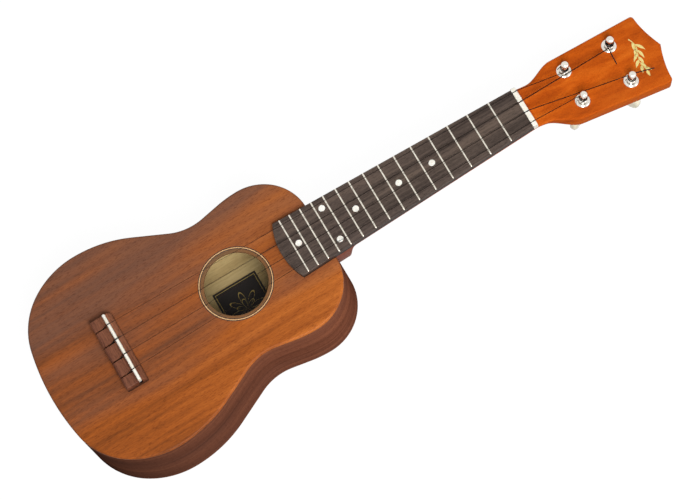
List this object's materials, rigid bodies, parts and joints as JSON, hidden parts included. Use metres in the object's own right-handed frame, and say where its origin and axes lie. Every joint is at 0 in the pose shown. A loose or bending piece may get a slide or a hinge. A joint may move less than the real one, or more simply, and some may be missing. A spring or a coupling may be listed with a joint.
{
  "type": "soprano ukulele",
  "caption": "Small figure-eight wooden ukulele with a hollow body, round soundhole, fretted neck, angled crowned headstock and friction tuners that wind nylon strings.",
  "frame": {"origin": "on the back's outer face, under the middle of the overall length", "axes": "+X to the treble side, +Y along the neck to the headstock, +Z out of the soundboard"},
  "size_m": [0.175, 0.5328, 0.0734],
  "materials": {
    "mahogany_top": "satin",
    "mahogany_back": "satin",
    "mahogany_side": "satin",
    "mahogany_neck": "satin",
    "inner_wood": "bare",
    "brace_spruce": "bare",
    "rosette_inlay": "gloss",
    "label_paper": "matte",
    "bridge_rosewood": "satin",
    "board_rosewood": "satin",
    "bone_white": "satin",
    "fret_metal": "polished",
    "dot_white": "gloss",
    "chrome": "polished",
    "button_cream": "gloss",
    "string_nylon": "gloss"
  },
  "bodies": {
    "instrument": {"soundboard": "mahogany_top", "back_plate": "mahogany_back", "rib_bass": "mahogany_side", "rib_treble": "mahogany_side", "neck_block": "inner_wood", "tail_block": "inner_wood", "lining_top_bass": "inner_wood", "lining_top_treble": "inner_wood", "lining_back_bass": "inner_wood", "lining_back_treble": "inner_wood", "top_brace_upper": "brace_spruce", "top_brace_lower": "brace_spruce", "bridge_plate": "brace_spruce", "back_brace_upper": "brace_spruce", "back_brace_lower": "brace_spruce", "rosette_ring": "rosette_inlay", "label": "label_paper", "bridge": "bridge_rosewood", "saddle": "bone_white", "neck": "mahogany_neck", "neck_dowel": "inner_wood", "fretboard": "board_rosewood", "frets": "fret_metal", "position_dots": "dot_white", "nut": "bone_white", "peg_ferrule_g": "chrome", "peg_ferrule_c": "chrome", "peg_ferrule_e": "chrome", "peg_ferrule_a": "chrome", "peg_collar_g": "chrome", "peg_collar_c": "chrome", "peg_collar_e": "chrome", "peg_collar_a": "chrome", "string_g": "string_nylon", "string_c": "string_nylon", "string_e": "string_nylon", "string_a": "string_nylon"},
    "peg_g": {"peg_post_g": "chrome", "peg_button_g": "button_cream", "peg_screw_g": "chrome", "winding_g": "string_nylon"},
    "peg_c": {"peg_post_c": "chrome", "peg_button_c": "button_cream", "peg_screw_c": "chrome", "winding_c": "string_nylon"},
    "peg_e": {"peg_post_e": "chrome", "peg_button_e": "button_cream", "peg_screw_e": "chrome", "winding_e": "string_nylon"},
    "peg_a": {"peg_post_a": "chrome", "peg_button_a": "button_cream", "peg_screw_a": "chrome", "winding_a": "string_nylon"}
  },
  "joints": [
    {"name": "tuner_g", "type": "hinge", "parent": "instrument", "child": "peg_g", "pos_m": [-0.0141, 0.19184, 0.05099], "axis": [0, 0.2504, 0.9681], "continuous": true},
    {"name": "tuner_c", "type": "hinge", "parent": "instrument", "child": "peg_c", "pos_m": [-0.0167, 0.23153, 0.04072], "axis": [0, 0.2504, 0.9681], "continuous": true},
    {"name": "tuner_e", "type": "hinge", "parent": "instrument", "child": "peg_e", "pos_m": [0.0167, 0.23153, 0.04072], "axis": [0, 0.2504, 0.9681], "continuous": true},
    {"name": "tuner_a", "type": "hinge", "parent": "instrument", "child": "peg_a", "pos_m": [0.0141, 0.19184, 0.05099], "axis": [0, 0.2504, 0.9681], "continuous": true}
  ]
}
